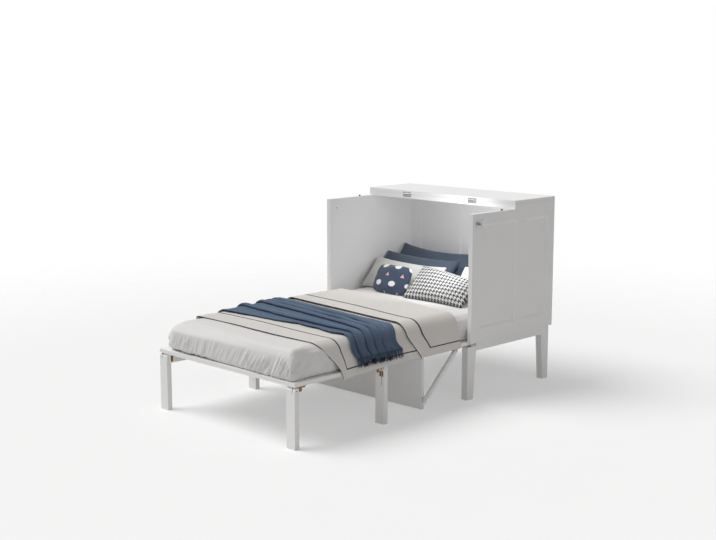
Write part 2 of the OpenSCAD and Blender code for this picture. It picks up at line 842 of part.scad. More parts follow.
// A pillow: a crowned closed form whose sides are drawn in between its corners.
// Each quad is split along the diagonal that points at the nearest corner.
module pillow(size, thick, draw) {
    n = 12;
    span = [for (i = [0 : n]) 2 * i / n - 1];
    function place(u, v, side) =
        let (t = thick / 2 * sqrt((1 - pow(u, 4)) * (1 - pow(v, 4))))
        [size[0] / 2 * u * (1 - draw * (1 - v * v)), size[1] / 2 * v * (1 - draw * (1 - u * u)), side * t];
    top = [for (v = span) for (u = span) place(u, v, 1)];
    low = [for (v = span) for (u = span) place(u, v, -1)];
    row = n + 1;
    function rim(i, j) = i == 0 || j == 0 || i == n || j == n;
    inner = [for (j = [1 : n - 1]) for (i = [1 : n - 1]) low[j * row + i]];
    function low_at(i, j) = rim(i, j) ? j * row + i : row * row + (j - 1) * (n - 1) + i - 1;
    faces = [
        for (j = [0 : n - 1]) for (i = [0 : n - 1])
            let (a = j * row + i, b = a + 1, c = a + row + 1, d = a + row,
                 e = low_at(i, j), f = low_at(i + 1, j), g = low_at(i + 1, j + 1), h = low_at(i, j + 1))
            each (2 * i < n) == (2 * j < n)
                ? [[a, c, b], [a, d, c], [e, f, g], [e, g, h]]
                : [[a, d, b], [b, d, c], [e, f, h], [f, g, h]]
    ];
    polyhedron(concat(top, inner), faces);
}

// Stands a pillow on the mattress, leaning back by an angle and turned a little. Its place is a share of
// the mattress's width: from the middle, in front of the back panel, and up from its crown.
module leaning(place, lean, turn, length) {
    at = [place[0], -place[1], place[2]] * mattress_w;
    at_foot() translate([0, rear_y - back_t, mattress_top] + at)
        rotate([0, 0, turn]) rotate([90 - lean, 0, 0]) translate([0, length / 2, 0]) children();
}

// A pillow's width, length and thickness are shares of the mattress's width.
module leaning_pillow(share, place, lean, turn, draw) {
    size = share * mattress_w;
    leaning(place, lean, turn, size[1]) pillow(size, size[2], draw);
}

module rear_slate_pillow() {
    color(slate) leaning_pillow([0.661, 0.272, 0.077], [-0.152, 0.252, 0], 34, 0, 0.07);
}

module front_slate_pillow() {
    color(slate) leaning_pillow([0.569, 0.236, 0.075], [-0.226, 0.364, 0], 38, 0, 0.07);
}

module beige_pillow() {
    color(quilt_beige) leaning_pillow([0.55, 0.218, 0.067], [-0.215, 0.474, 0], 42, 0, 0.07);
}

module cream_pillow() {
    color(sheet_white) leaning_pillow([0.305, 0.219, 0.069], [0.335, 0.448, 0], 38, 0, 0.06);
}

module check_pillow() {
    color(check_grey) leaning_pillow([0.447, 0.236, 0.071], [0.165, 0.587, 0.0003], 47, -2, 0.07);
}

module navy_cushion() {
    color(navy) leaning_pillow([0.266, 0.175, 0.067], [-0.199, 0.557, -0.001], 28, 0, 0.05);
}

left_side();
right_side();
back_panel();
rear_top();
front_apron();
rear_apron();
side_aprons();
front_base_legs();
rear_base_legs();
base_glides();
cleats();
head_slats();
pivot_brackets();
pivot_bolts();
lid_hinge_plates();
lid_bumpers();
bolt_housings();
front_leaf();
lid_hinge_flaps();
left_bolt();
right_bolt();
mid_side_rails();
mid_end_rails();
mid_slats();
front_panel();
strut_brackets();
section_hinge_plates();
support_hinge_plates();
support_panel();
support_fittings();
left_strut();
right_strut();
foot_side_rails();
foot_end_rails();
foot_slats();
foot_ledgers();
leg_brackets();
leg_pins();
section_hinge_flaps();
foot_left_leg();
foot_right_leg();
mid_left_leg();
mid_right_leg();
foot_left_straps();
foot_right_straps();
mid_left_straps();
mid_right_straps();
mattress_foot();
mattress_mid();
mattress_head();
quilt_foot();
quilt_mid();
throw_foot();
throw_mid();
rear_slate_pillow();
front_slate_pillow();
beige_pillow();
cream_pillow();
check_pillow();
navy_cushion();
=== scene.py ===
"""Looks for a cabinet bed that stands open and made up. Lengths are in metres, in the CAD model's frame."""
import json
import math
import random

import bmesh
import bpy
from mathutils import Matrix, Vector, noise


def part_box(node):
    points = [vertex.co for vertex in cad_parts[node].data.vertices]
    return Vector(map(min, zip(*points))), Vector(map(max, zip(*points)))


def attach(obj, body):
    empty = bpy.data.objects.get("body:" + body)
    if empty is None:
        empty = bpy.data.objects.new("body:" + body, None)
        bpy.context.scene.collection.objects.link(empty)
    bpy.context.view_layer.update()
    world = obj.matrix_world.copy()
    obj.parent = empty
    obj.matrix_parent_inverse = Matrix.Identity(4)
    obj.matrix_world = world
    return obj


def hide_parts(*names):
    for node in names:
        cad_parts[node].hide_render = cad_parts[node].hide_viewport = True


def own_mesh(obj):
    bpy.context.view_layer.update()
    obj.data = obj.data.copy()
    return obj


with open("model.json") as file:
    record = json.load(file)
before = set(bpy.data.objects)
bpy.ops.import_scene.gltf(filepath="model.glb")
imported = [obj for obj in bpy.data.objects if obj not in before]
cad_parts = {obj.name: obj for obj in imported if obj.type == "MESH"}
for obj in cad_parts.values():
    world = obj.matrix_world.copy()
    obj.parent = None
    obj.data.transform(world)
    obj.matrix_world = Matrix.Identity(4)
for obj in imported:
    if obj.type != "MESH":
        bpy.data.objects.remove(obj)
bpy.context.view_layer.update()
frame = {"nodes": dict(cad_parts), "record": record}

FOOT = -0.967  # the foot legs' front faces
HINGE_Y = FOOT + 0.622  # the hinge between the foot and middle sections
# The mattress splits here, so that its middle part clears the head slats when it folds up.
HEAD_Y = FOOT + 1.2575
DECK_Z = 0.318
MATTRESS_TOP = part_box("mattress_foot")[1].z
MATTRESS_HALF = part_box("mattress_foot")[1].x
HEM_Z = 0.299
# The share of its height that bedding is to keep where the foot section folds onto the middle one, as listed with the
# mattress's sections.
FLAT = 0.003


def smooth(low, high, value):
    """0 below low, 1 above high, and a soft step between them."""
    part = min(max((value - low) / (high - low), 0.0), 1.0)
    return part * part * (3 - 2 * part)


def ripple(x, y, z=0.0):
    """Soft noise from about -1 to 1."""
    return noise.noise(Vector((x, y, z)))


# Camera


def make_camera():
    data = bpy.data.cameras.new("camera")
    data.sensor_width = 36.0
    data.lens = 62.55
    eye = bpy.data.objects.new("camera", data)
    eye.location = (4.609, -4.688, 1.750)
    eye.rotation_euler = (math.radians(90 - 9.30), 0.0, math.radians(44.74))
    bpy.context.scene.collection.objects.link(eye)
    bpy.context.scene.camera = eye


make_camera()


# Materials


class Value:
    """A number, colour or vector inside a material. Sums and products of it add Math nodes."""

    def __init__(self, paint, socket):
        self.paint, self.socket = paint, socket

    def math(self, operation, *others):
        inputs = dict(enumerate((self, *others)))
        return self.paint.node("ShaderNodeMath", {"operation": operation}, inputs)

    def flipped(self, operation, other):
        return self.paint.node("ShaderNodeMath", {"operation": operation}, {0: other, 1: self})

    def __add__(self, other):
        return self.math("ADD", other)

    def __sub__(self, other):
        return self.math("SUBTRACT", other)

    def __mul__(self, other):
        return self.math("MULTIPLY", other)

    def __truediv__(self, other):
        return self.math("DIVIDE", other)

    def __radd__(self, other):
        return self.flipped("ADD", other)

    def __rsub__(self, other):
        return self.flipped("SUBTRACT", other)

    def __rmul__(self, other):
        return self.flipped("MULTIPLY", other)

    def below(self, edge):
        return self.math("LESS_THAN", edge)

    def above(self, edge):
        return self.math("GREATER_THAN", edge)


class Paint:
    """A material and the few steps that its nodes need."""

    def __init__(self, name):
        self.material = bpy.data.materials.new(name)
        self.material.use_nodes = True
        self.nodes = self.material.node_tree.nodes
        self.links = self.material.node_tree.links
        self.shader = self.nodes["Principled BSDF"]

    def join(self, value, socket):
        if isinstance(value, Value):
            self.links.new(value.socket, socket)
        else:
            socket.default_value = value

    def node(self, kind, settings=None, inputs=None, output=0):
        made = self.nodes.new(kind)
        for name, value in (settings or {}).items():
            setattr(made, name, value)
        for name, value in (inputs or {}).items():
            self.join(value, made.inputs[name])
        return Value(self, made.outputs[output])

    def set(self, **values):
        for name, value in values.items():
            self.join(value, self.shader.inputs[name.replace("_", " ").title().replace("Ior", "IOR")])

    def mix(self, share, first, second):
        return self.node(
            "ShaderNodeMix", {"data_type": "RGBA"}, {0: share, 6: rgba(first), 7: rgba(second)}, 2
        )

    def bump(self, height, distance):
        inputs = {"Height": height, "Distance": distance, "Strength": 1.0}
        self.set(normal=self.node("ShaderNodeBump", {}, inputs))

    def place(self):
        return self.node("ShaderNodeTexCoord", {}, {}, "Object")

    def cloth(self):
        """The flat cloth's own coordinates in metres, as (across, along)."""
        flat = self.node("ShaderNodeUVMap", {"uv_map": "cloth"})
        parts = self.node("ShaderNodeSeparateXYZ", {}, {0: flat})
        return flat, parts, Value(self, parts.socket.node.outputs[1])

    def stretched(self, where, scale):
        return self.node("ShaderNodeVectorMath", {"operation": "MULTIPLY"}, {0: where, 1: scale})

    def noise(self, where, scale, detail=3.0, rough=0.5):
        return self.node(
            "ShaderNodeTexNoise",
            {"noise_dimensions": "3D"},
            {"Vector": where, "Scale": scale, "Detail": detail, "Roughness": rough},
        )


def rgba(colour):
    return (*colour, 1.0) if isinstance(colour, tuple) and len(colour) == 3 else colour


def painted_board():
    paint = Paint("white_paint")
    where = paint.place()
    cloud = paint.noise(where, 5.0, 2.0)
    peel = paint.noise(where, 420.0, 2.0)
    paint.set(
        base_color=paint.mix(cloud, (0.845, 0.842, 0.838), (0.875, 0.873, 0.87)),
        roughness=0.36 + 0.12 * cloud,
        specular_ior_level=0.4,
    )
    paint.bump(peel, 0.00006)
    return paint.material


def metal(name, colour, dark, rough):
    paint = Paint(name)
    where = paint.place()
    brushed = paint.noise(paint.stretched(where, (900.0, 60.0, 900.0)), 1.0, 2.0)
    cloud = paint.noise(where, 60.0, 2.0)
    paint.set(
        base_color=paint.mix(cloud, dark, colour),
        metallic=1.0,
        roughness=rough + 0.18 * brushed,
    )
    paint.bump(brushed, 0.00004)
    return paint.material


def moulded():
    paint = Paint("nylon")
    grain = paint.noise(paint.place(), 700.0, 2.0)
    paint.set(base_color=paint.mix(grain, (0.03, 0.03, 0.032), (0.05, 0.05, 0.052)), roughness=0.5 + 0.1 * grain)
    paint.bump(grain, 0.00005)
    return paint.material


def weave_height(paint, flat, thread):
    """Over and under threads of a plain weave, thread metres apart, from about 0 to 1."""
    turn = 2 * math.pi / thread
    parts = paint.node("ShaderNodeSeparateXYZ", {}, {0: flat})
    across, along = parts, Value(paint, parts.socket.node.outputs[1])
    over = (across * turn).math("SINE") * (along * turn).math("SINE")
    return 0.5 + 0.5 * over


def cotton(name, colour, dark, sheen=0.15):
    """Plain woven cotton with slightly uneven threads."""
    paint = Paint(name)
    flat = paint.cloth()[0]
    slub = paint.noise(paint.stretched(flat, (40.0, 500.0, 1.0)), 1.0, 2.0) * 0.5 + paint.noise(
        paint.stretched(flat, (500.0, 40.0, 1.0)), 1.0, 2.0
    ) * 0.5
    cloud = paint.noise(flat, 7.0, 3.0)
    tone = 0.35 * cloud + 0.65 * slub
    paint.set(base_color=paint.mix(tone, dark, colour), roughness=0.85, sheen_weight=sheen, sheen_roughness=0.5)
    paint.bump(weave_height(paint, flat, 0.0011) * 0.5 + slub, 0.00025)
    return paint.material


def beige_linen(width, length):
    """Beige linen with a dark line near each edge, and a dark line along its foot and flap edges themselves."""
    paint = Paint("beige_quilt")
    flat, across, along = paint.cloth()
    slub = paint.noise(paint.stretched(flat, (30.0, 420.0, 1.0)), 1.0, 3.0) * 0.5 + paint.noise(
        paint.stretched(flat, (420.0, 30.0, 1.0)), 1.0, 3.0
    ) * 0.5
    cloud = paint.noise(flat, 6.0, 3.0)
    tone = 0.3 * cloud + 0.7 * slub
    linen = paint.mix(tone, (0.60, 0.575, 0.545), (0.83, 0.805, 0.775))
    side = across.math("MINIMUM", width - across)
    ends = (along - FOOT_LINE).math("MINIMUM", length - HEAD_LINE - along)
    across_line = ends.math("ABSOLUTE").below(0.0052) * (side - 0.039).above(0.0)
    side_line = (side - SIDE_LINE).math("ABSOLUTE").below(0.0031) * (ends + 0.0052).above(0.0)
    end_edge_line = along.math("MINIMUM", length - along).below(0.0016)
    dark = across_line.math("MAXIMUM", side_line).math("MAXIMUM", end_edge_line)
    paint.set(
        base_color=paint.mix(dark, linen, (0.045, 0.042, 0.05)),
        roughness=0.9,
        sheen_weight=0.12,
        sheen_roughness=0.5,
    )
    paint.bump(slub + weave_height(paint, flat, 0.0014) * 0.5, 0.0003)
    return paint.material


def blue_knit(width):
    """Coarse blue knit: ribs across the throw with small stitches along them, and painted shade: a darker tone at
    both ends, where they hang down the bed's sides.
    """
    paint = Paint("blue_throw")
    flat, across, along = paint.cloth()
    rib = 0.5 + 0.5 * (along * (2 * math.pi / 0.006)).math("SINE")
    stitch = 0.5 + 0.5 * (across * (2 * math.pi / 0.005) + along * 400.0).math("SINE")
    fuzz = paint.noise(flat, 260.0, 3.0)
    cloud = paint.noise(flat, 9.0, 3.0)
    side = across.math("MINIMUM", width - across)
    # Painted shade: the colour darkens towards both ends of the throw, where they hang down the sides, to 55 per cent
    # at the hems.
    hang_shade = 0.55 + 0.45 * (side / 0.17).math("MINIMUM", 1.0)
    tone = (0.35 * rib + 0.2 * stitch + 0.3 * fuzz + 0.15 * cloud) * hang_shade
    paint.set(
        base_color=paint.mix(tone, (0.028, 0.048, 0.086), (0.130, 0.185, 0.280)),
        roughness=0.95,
        sheen_weight=0.35,
        sheen_roughness=0.4,
        sheen_tint=(0.45, 0.62, 0.90, 1.0),
    )
    paint.bump(rib * 0.7 + stitch * 0.3 + fuzz * 0.4, 0.0012)
    return paint.material


def broken_check():
    """A broken check of four dark and four pale threads both ways, woven as a two by two twill."""
    paint = Paint("check_weave")
    flat, across, along = paint.cloth()
    thread_width = 0.0030
    column = (across / thread_width).math("FLOOR")
    row = (along / thread_width).math("FLOOR")
    dark_column = column.math("FLOORED_MODULO", 8.0).below(3.5)
    dark_row = row.math("FLOORED_MODULO", 8.0).below(3.5)
    over = (column + row).math("FLOORED_MODULO", 4.0).below(1.5)
    dark = over * dark_column + (1 - over) * dark_row
    thread = weave_height(paint, flat, 0.0016)
    fuzz = paint.noise(flat, 300.0, 2.0)
    black = paint.mix(fuzz, (0.018, 0.019, 0.022), (0.05, 0.052, 0.058))
    white = paint.mix(fuzz, (0.62, 0.615, 0.60), (0.77, 0.765, 0.75))
    paint.set(base_color=paint.mix(dark, white, black), roughness=0.9, sheen_weight=0.1)
    paint.bump(thread + fuzz * 0.5, 0.0004)
    return paint.material


def dotted_navy():
    """Navy cotton with a regular repeat of small pale ovals and, between them, small pink triangles."""
    paint = Paint("navy_cotton")
    flat, across, along = paint.cloth()
    repeat = 0.108
    u = (across / repeat).math("FRACT") - 0.5
    v = (along / repeat).math("FRACT") - 0.5
    oval = ((u * u) / 0.045 + (v * v) / 0.022).below(1.0)
    s = (across / repeat + 0.5).math("FRACT") - 0.5
    t = (along / repeat + 0.5).math("FRACT") - 0.5
    triangle = (t + 0.09).above(0.0) * (s.math("ABSOLUTE") * 1.6 + t).below(0.11)
    fuzz = paint.noise(flat, 260.0, 2.0)
    navy = paint.mix(fuzz, (0.020, 0.036, 0.075), (0.050, 0.078, 0.135))
    spotted = paint.mix(oval, navy, (0.83, 0.83, 0.82))
    paint.set(
        base_color=paint.mix(triangle, spotted, (0.72, 0.42, 0.42)),
        roughness=0.9,
        sheen_weight=0.25,
        sheen_roughness=0.5,
    )
    paint.bump(weave_height(paint, flat, 0.0012) + fuzz, 0.0003)
    return paint.material


QUILT_W, QUILT_L = 1.283, 1.317  # the quilt's flat width and length
THROW_W = 1.146  # the throw's flat width without its fringe
FOOT_LINE, HEAD_LINE, SIDE_LINE = 0.128, 0.098, 0.042  # how far the quilt's dark lines lie from its edges

finish = {
    "white_paint": painted_board(),
    "steel": metal("steel", (0.50, 0.50, 0.51), (0.32, 0.32, 0.33), 0.30),
    "brass": metal("brass", (0.30, 0.165, 0.055), (0.15, 0.08, 0.03), 0.36),
    "nylon": moulded(),
    "white_cotton": cotton("white_cotton", (0.81, 0.805, 0.795), (0.71, 0.705, 0.69)),
    "beige_quilt": beige_linen(QUILT_W, QUILT_L),
    "blue_throw": blue_knit(THROW_W),
    "slate_cotton": cotton("slate_cotton", (0.080, 0.108, 0.155), (0.034, 0.050, 0.080), sheen=0.12),
    "beige_cotton": cotton("beige_cotton", (0.70, 0.685, 0.65), (0.58, 0.57, 0.54)),
    "cream_cotton": cotton("cream_cotton", (0.84, 0.83, 0.80), (0.72, 0.71, 0.68)),
    "check_weave": broken_check(),
    "navy_cotton": dotted_navy(),
}

slot_of = {part["node"]: part["material_slot"] for part in frame["record"]["subparts"]}
for node_name, node_object in frame["nodes"].items():
    node_object.data.materials.clear()
    node_object.data.materials.append(finish[slot_of[node_name]])

for node_name, node_object in frame["nodes"].items():
    if slot_of[node_name] == "white_paint":
        soft_edge = node_object.modifiers.new("soft_edge", "BEVEL")
        soft_edge.width = 0.0028 if node_name in ("front_leaf", "rear_top") else 0.0018
        soft_edge.segments = 2
        soft_edge.limit_method = "ANGLE"
        soft_edge.angle_limit = math.radians(40)


# Making pieces


def piece_from(bm, name, slot, body):
    """Turns a bmesh into a piece of the part that rides on a body."""
    mesh = bpy.data.meshes.new(name)
    bm.to_mesh(mesh)
    bm.free()
    piece = bpy.data.objects.new(name, mesh)
    bpy.context.scene.collection.objects.link(piece)
    mesh.materials.append(finish[slot])
    for face in mesh.polygons:
        face.use_smooth = True
    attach(piece, body)
    return piece


def cut_lengthwise(bm, low, high, fill):
    """Keeps what lies between two places along the bed."""
    for place, normal in ((low, (0, -1, 0)), (high, (0, 1, 0))):
        if place is None:
            continue
        result = bmesh.ops.bisect_plane(
            bm,
            geom=bm.verts[:] + bm.edges[:] + bm.faces[:],
            plane_co=(0, place, 0),
            plane_no=normal,
            clear_outer=True,
        )
        edges = [item for item in result["geom_cut"] if isinstance(item, bmesh.types.BMEdge)]
        if fill and edges:
            bmesh.ops.contextual_create(bm, geom=edges)


def flat_uv(bm, where):
    """Gives each corner the flat cloth's coordinates, from the vertex that it is on."""
    layer = bm.loops.layers.uv.new("cloth")
    for face in bm.faces:
        for loop in face.loops:
            loop[layer].uv = where(loop.vert)


# Mattress


def mattress_block():
    """The whole made-up mattress as one closed block, with its wrinkles, before it is cut into sections."""
    low = Vector((-MATTRESS_HALF, FOOT + 0.008, DECK_Z + 0.0006))
    high = Vector((MATTRESS_HALF, FOOT + 1.912, MATTRESS_TOP))
    bm = bmesh.new()
    bmesh.ops.create_cube(bm, size=1.0)
    for vert in bm.verts:
        vert.co = Vector(high[i] if vert.co[i] > 0 else low[i] for i in range(3))
    for axis, cuts in ((0, 260), (1, 170), (2, 24)):
        along = [e for e in bm.edges if abs((e.verts[0].co - e.verts[1].co).normalized()[axis]) > 0.9]
        bmesh.ops.subdivide_edges(bm, edges=along, cuts=cuts, use_grid_fill=True)
    for vert in bm.verts:
        up = (vert.co.z - low.z) / (high.z - low.z)
        rise = 0.020 + 0.044 * smooth(0.35, 0.95, up)
        plan = rise + 0.055 * smooth(0.1, 0.5, -vert.co.x / high.x) * smooth(1.0, 0.4, vert.co.y - low.y)
        plan -= 0.6 * rise * smooth(0.1, 0.5, vert.co.x / high.x) * smooth(0.15, 0.06, vert.co.y - low.y)
        radius = Vector((plan, plan, rise))
        core = Vector(min(max(vert.co[i], low[i] + radius[i]), high[i] - radius[i]) for i in range(3))
        way = Vector((vert.co[i] - core[i]) / radius[i] for i in range(3))
        if way.length > 1e-6:
            way.normalize()
            vert.co = core + Vector(way[i] * radius[i] for i in range(3))
    bm.normal_update()
    lifted = {}
    for vert in bm.verts:
        x, y, z = vert.co
        up = (z - low.z) / (high.z - low.z)
        from_end = y - low.y
        from_side = high.x - abs(x)
        wall = 1 - smooth(0.03, 0.11, min(from_end, from_side))
        run = x if from_end < from_side else 0.7 * y + 3.0
        lean = run - (0.085 + 0.050 * ripple(run * 2.3, 5.0)) * up + 0.004 * ripple(run * 9, up * 2, 1.0)
        crowd = smooth(-0.55, 0.25, ripple(run * 2.6 + 1.7, 0.3, 7.7))
        reach = 0.62 + 0.30 * ripple(run * 11, 2.0)
        fade = smooth(-0.05, 0.10, up) * (1 - smooth(reach - 0.22, reach + 0.16, up))
        big = max(1 - 3.0 * abs(ripple(lean * 34, up * 0.8, 4.2)), 0.0)
        small = max(1 - 3.0 * abs(ripple(lean * 72, up * 1.2, 9.1)), 0.0)
        crease = (0.0070 * big * (0.35 + crowd) + 0.0032 * small * (0.5 + crowd)) * fade * wall
        bulge = 0.004 * math.sin(math.pi * min(max(up, 0.0), 1.0)) * wall * smooth(-0.49, -0.30, x)
        top = smooth(0.9, 1.0, up)
        soft = 0.0030 * ripple(x * 2.6, y * 2.2) + 0.0012 * ripple(x * 8.0 + y * 3.0, y * 4.0, 2.0)
        lifted[vert] = vert.normal * (crease + bulge + soft * top - 0.004 * fade * wall - 0.0025 * top)
    for vert, move in lifted.items():
        vert.co += move
        vert.co.z = max(vert.co.z, low.z)
    return bm


def wrapped_uv(vert):
    """Coordinates that run over the top and down the sides of the mattress."""
    x, y, z = vert.co
    drop = max(MATTRESS_TOP - 0.035 - z, 0.0)
    across = x + math.copysign(drop, x) if MATTRESS_HALF - abs(x) < 0.02 else x
    along = y - drop if y - FOOT < 0.03 else y
    return (across, along)


def make_mattress():
    sections = (
        ("foot", None, HINGE_Y, "foot_section", "foot_fold", (0, 0, 1), (0, 0, DECK_Z), FLAT),
        ("mid", HINGE_Y, HEAD_Y, "mid_section", "foot_fold", (0, 0, 1), (0, 0, DECK_Z), FLAT),
        ("head", HEAD_Y, None, "cabinet", "mid_fold", (0, 1, 0), (0, FOOT + 1.912, 0), 0.66),
    )
    whole = mattress_block()
    flat_uv(whole, wrapped_uv)
    for name, low, high, body, joint, axis, anchor, keep in sections:
        bm = whole.copy()
        cut_lengthwise(bm, low, high, True)
        piece = piece_from(bm, f"{name}_mattress", "white_cotton", body)
        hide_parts(f"mattress_{name}")
        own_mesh(piece)
    whole.free()


make_mattress()


# Bedding that hangs over the sides


def drape_path():
    """Half of the line across the bed that cloth follows: from the middle, over the edge, down to the hem."""
    top = MATTRESS_TOP + 0.0012
    edge = MATTRESS_HALF + 0.003
    radius = 0.062
    line = [(0.0, top), (edge - radius, top)]
    for step in range(1, 13):
        turn = math.radians(84 * step / 12)
        line.append((edge - radius + radius * math.sin(turn), top - radius + radius * math.cos(turn)))
    line += [(0.5050, 0.372), (0.5130, 0.330), (0.5155, 0.312), (0.5175, HEM_Z)]
    return [Vector(point) for point in line]


DRAPE = drape_path()
DRAPE_LENGTHS = [0.0]
for first, second in zip(DRAPE, DRAPE[1:]):
    DRAPE_LENGTHS.append(DRAPE_LENGTHS[-1] + (second - first).length)
HALF_DRAPE = DRAPE_LENGTHS[-1]
# Cloth that would hang further out than this is drawn in by half, so that it stays inside the folded bed's sides.
SNUG = 0.522
CREST = DRAPE_LENGTHS[1]


def along_line(places, values, across):
    """A smooth line through the values that stand at the given places across the bed."""
    across = min(max(across, places[0]), places[-1])
    n = 0
    while n < len(places) - 2 and across > places[n + 1]:
        n += 1
    step = places[n + 1] - places[n]
    share = (across - places[n]) / step

    def slope(i):
        first, last = max(i - 1, 0), min(i + 1, len(places) - 1)
        return (values[last] - values[first]) / (places[last] - places[first]) * step

    a, b = values[n], values[n + 1]
    return (
        a
        + share * slope(n)
        + share**2 * (3 * (b - a) - 2 * slope(n) - slope(n + 1))
        + share**3 * (2 * (a - b) + slope(n) + slope(n + 1))
    )


def over_bed(across, y, rise):
    """The place of cloth that lies across metres from the middle line, rise metres off the mattress."""
    side = -1.0 if across < 0 else 1.0
    run = min(abs(across), HALF_DRAPE * 1.2)
    index = 0
    while index < len(DRAPE) - 2 and DRAPE_LENGTHS[index + 1] < run:
        index += 1
    first, second = DRAPE[index], DRAPE[index + 1]
    share = (run - DRAPE_LENGTHS[index]) / (second - first).length
    spot = first + (second - first) * share
    before = DRAPE[max(index - 1, 0)]
    after = DRAPE[min(index + 2, len(DRAPE) - 1)]
    way = ((second - before) * (1 - min(share, 1.0)) + (after - first) * min(share, 1.0)).normalized()
    out = Vector((-way.y, way.x))
    spot = spot + out * rise
    wide = spot.x - 0.5 * max(spot.x - SNUG, 0.0)
    return Vector((side * wide, y, spot.y))


def hanging(across):
    """How far down the side a place on the cloth is: 0 on top, 1 at the hem."""
    return smooth(CREST, HALF_DRAPE, abs(across))


QUILT_FOOT = FOOT + 0.175
QUILT_FOLD = FOOT + 1.148  # the quilt turns back on itself here
FLAP = 0.330
TURN = 0.0045
# How far the flap's dark edge lies off a straight line, from one hem to the other.
FLAP_ACROSS = (-0.64, -0.52, -0.14, 0.20, 0.44, 0.53, 0.64)
FLAP_SHIFT = (0.030, 0.033, 0.000, -0.031, -0.057, -0.045, 0.036)


def quilt_place(across, along):
    """Where a point of the flat quilt goes: along the bed, round the turn at the head, and back as a flap."""
    hang = hanging(across)
    lower = QUILT_FOLD - QUILT_FOOT
    shift = along_line(FLAP_ACROSS, FLAP_SHIFT, across)
    wave = 0.0020 * ripple(across * 2.2, along * 3.1, 1.0) + 0.0010 * ripple(across * 6.0, along * 7.0, 5.0)
    fall = 0.5 + 0.5 * math.sin(along * 33 + 2.2 * math.sin(along * 9) + (1.3 if across < 0 else 0))
    rise = 0.0012 + 0.0016 + max(wave, -0.0012) * (1 - hang) + hang * hang * 0.0075 * fall
    # The quilt lies a little askew: on the left, both its foot edge and its fold are nearer to the head.
    foot = QUILT_FOOT + 0.018 * smooth(0.3, -0.3, across)
    fold = QUILT_FOLD + 0.092 * smooth(0.42, -0.05, across)
    if along < lower:
        y = foot + (fold - foot) * along / lower
    elif along < lower + math.pi * TURN:
        turn = (along - lower) / TURN
        y = fold + TURN * math.sin(turn)
        rise += TURN * (1 - math.cos(turn))
    else:
        back = along - lower - math.pi * TURN
        y = fold - back + (shift + QUILT_FOLD - fold) * smooth(0.0, FLAP, back)
        rise += 2 * TURN + 0.0015 * smooth(0.0, 0.1, back) * ripple(across * 3.0, back * 9.0, 8.0)
    lag = hang * 0.130 * max(0.0, 1 - along / 0.17)
    stretch = 1 + 0.022 * hang * (1 - smooth(0.0, 0.5, along))
    return over_bed(across * stretch, y + lag, rise)


def cloth_grid(width, length, place, columns, rows):
    """A flat cloth of the given size, whose points are then moved to where they lie."""
    bm = bmesh.new()
    bmesh.ops.create_grid(bm, x_segments=columns, y_segments=rows, size=0.5)
    layer = bm.loops.layers.uv.new("cloth")
    for face in bm.faces:
        for loop in face.loops:
            x, y, _ = loop.vert.co
            loop[layer].uv = ((x + 0.5) * width, (y + 0.5) * length)
    for vert in bm.verts:
        vert.co = place(vert.co.x * width, (vert.co.y + 0.5) * length)
    bmesh.ops.recalc_face_normals(bm, faces=bm.faces[:])
    return bm


def turn_cloth(bm, up):
    """Turns the cloth over if most of it doesn't face up, or doesn't face down where up is False."""
    bm.normal_update()
    faces_down = sum(face.normal.z * face.calc_area() for face in bm.faces) < 0
    if faces_down == up:
        bmesh.ops.reverse_faces(bm, faces=bm.faces[:])


def thicken(piece, thickness):
    """Gives a cloth its thickness in the mesh itself, so that it is pressed flat too when the bed folds."""
    modifier = piece.modifiers.new("thickness", "SOLIDIFY")
    modifier.thickness = thickness
    modifier.offset = 1.0
    modifier.use_rim = True
    bpy.context.view_layer.update()
    thick = piece.evaluated_get(bpy.context.evaluated_depsgraph_get())
    thin_mesh = piece.data
    piece.data = bpy.data.meshes.new_from_object(thick)
    piece.modifiers.clear()
    bpy.data.meshes.remove(thin_mesh)


def make_quilt():
    bm = cloth_grid(QUILT_W, QUILT_L, quilt_place, 168, 150)
    turn_cloth(bm, up=False)  # so the flap, which is turned over, faces up and gets its thickness on top
    for name, low, high, body in (("foot", None, HINGE_Y, "foot_section"), ("mid", HINGE_Y, None, "mid_section")):
        part = bm.copy()
        cut_lengthwise(part, low, high, False)
        piece = piece_from(part, f"{name}_quilt", "beige_quilt", body)
        thicken(piece, 0.0042)
        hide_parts(f"quilt_{name}")
        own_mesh(piece)
    bm.free()


make_quilt()


THROW_HALF = HALF_DRAPE - 0.066
# Where the throw's edges and its four folded edges lie along the bed, from the left hem to the right one.
ACROSS = (-0.62, -0.50, 0.10, 0.42, 0.53, 0.62)
EDGES = (
    (0.345, 0.352, 0.402, 0.388, 0.378, 0.436),
    (0.522, 0.511, 0.444, 0.437, 0.424, 0.470),
    (0.628, 0.640, 0.568, 0.510, 0.484, 0.530),
    (0.676, 0.688, 0.624, 0.564, 0.540, 0.592),
    (0.722, 0.734, 0.682, 0.614, 0.590, 0.650),
    (0.790, 0.808, 0.752, 0.724, 0.690, 0.765),
)


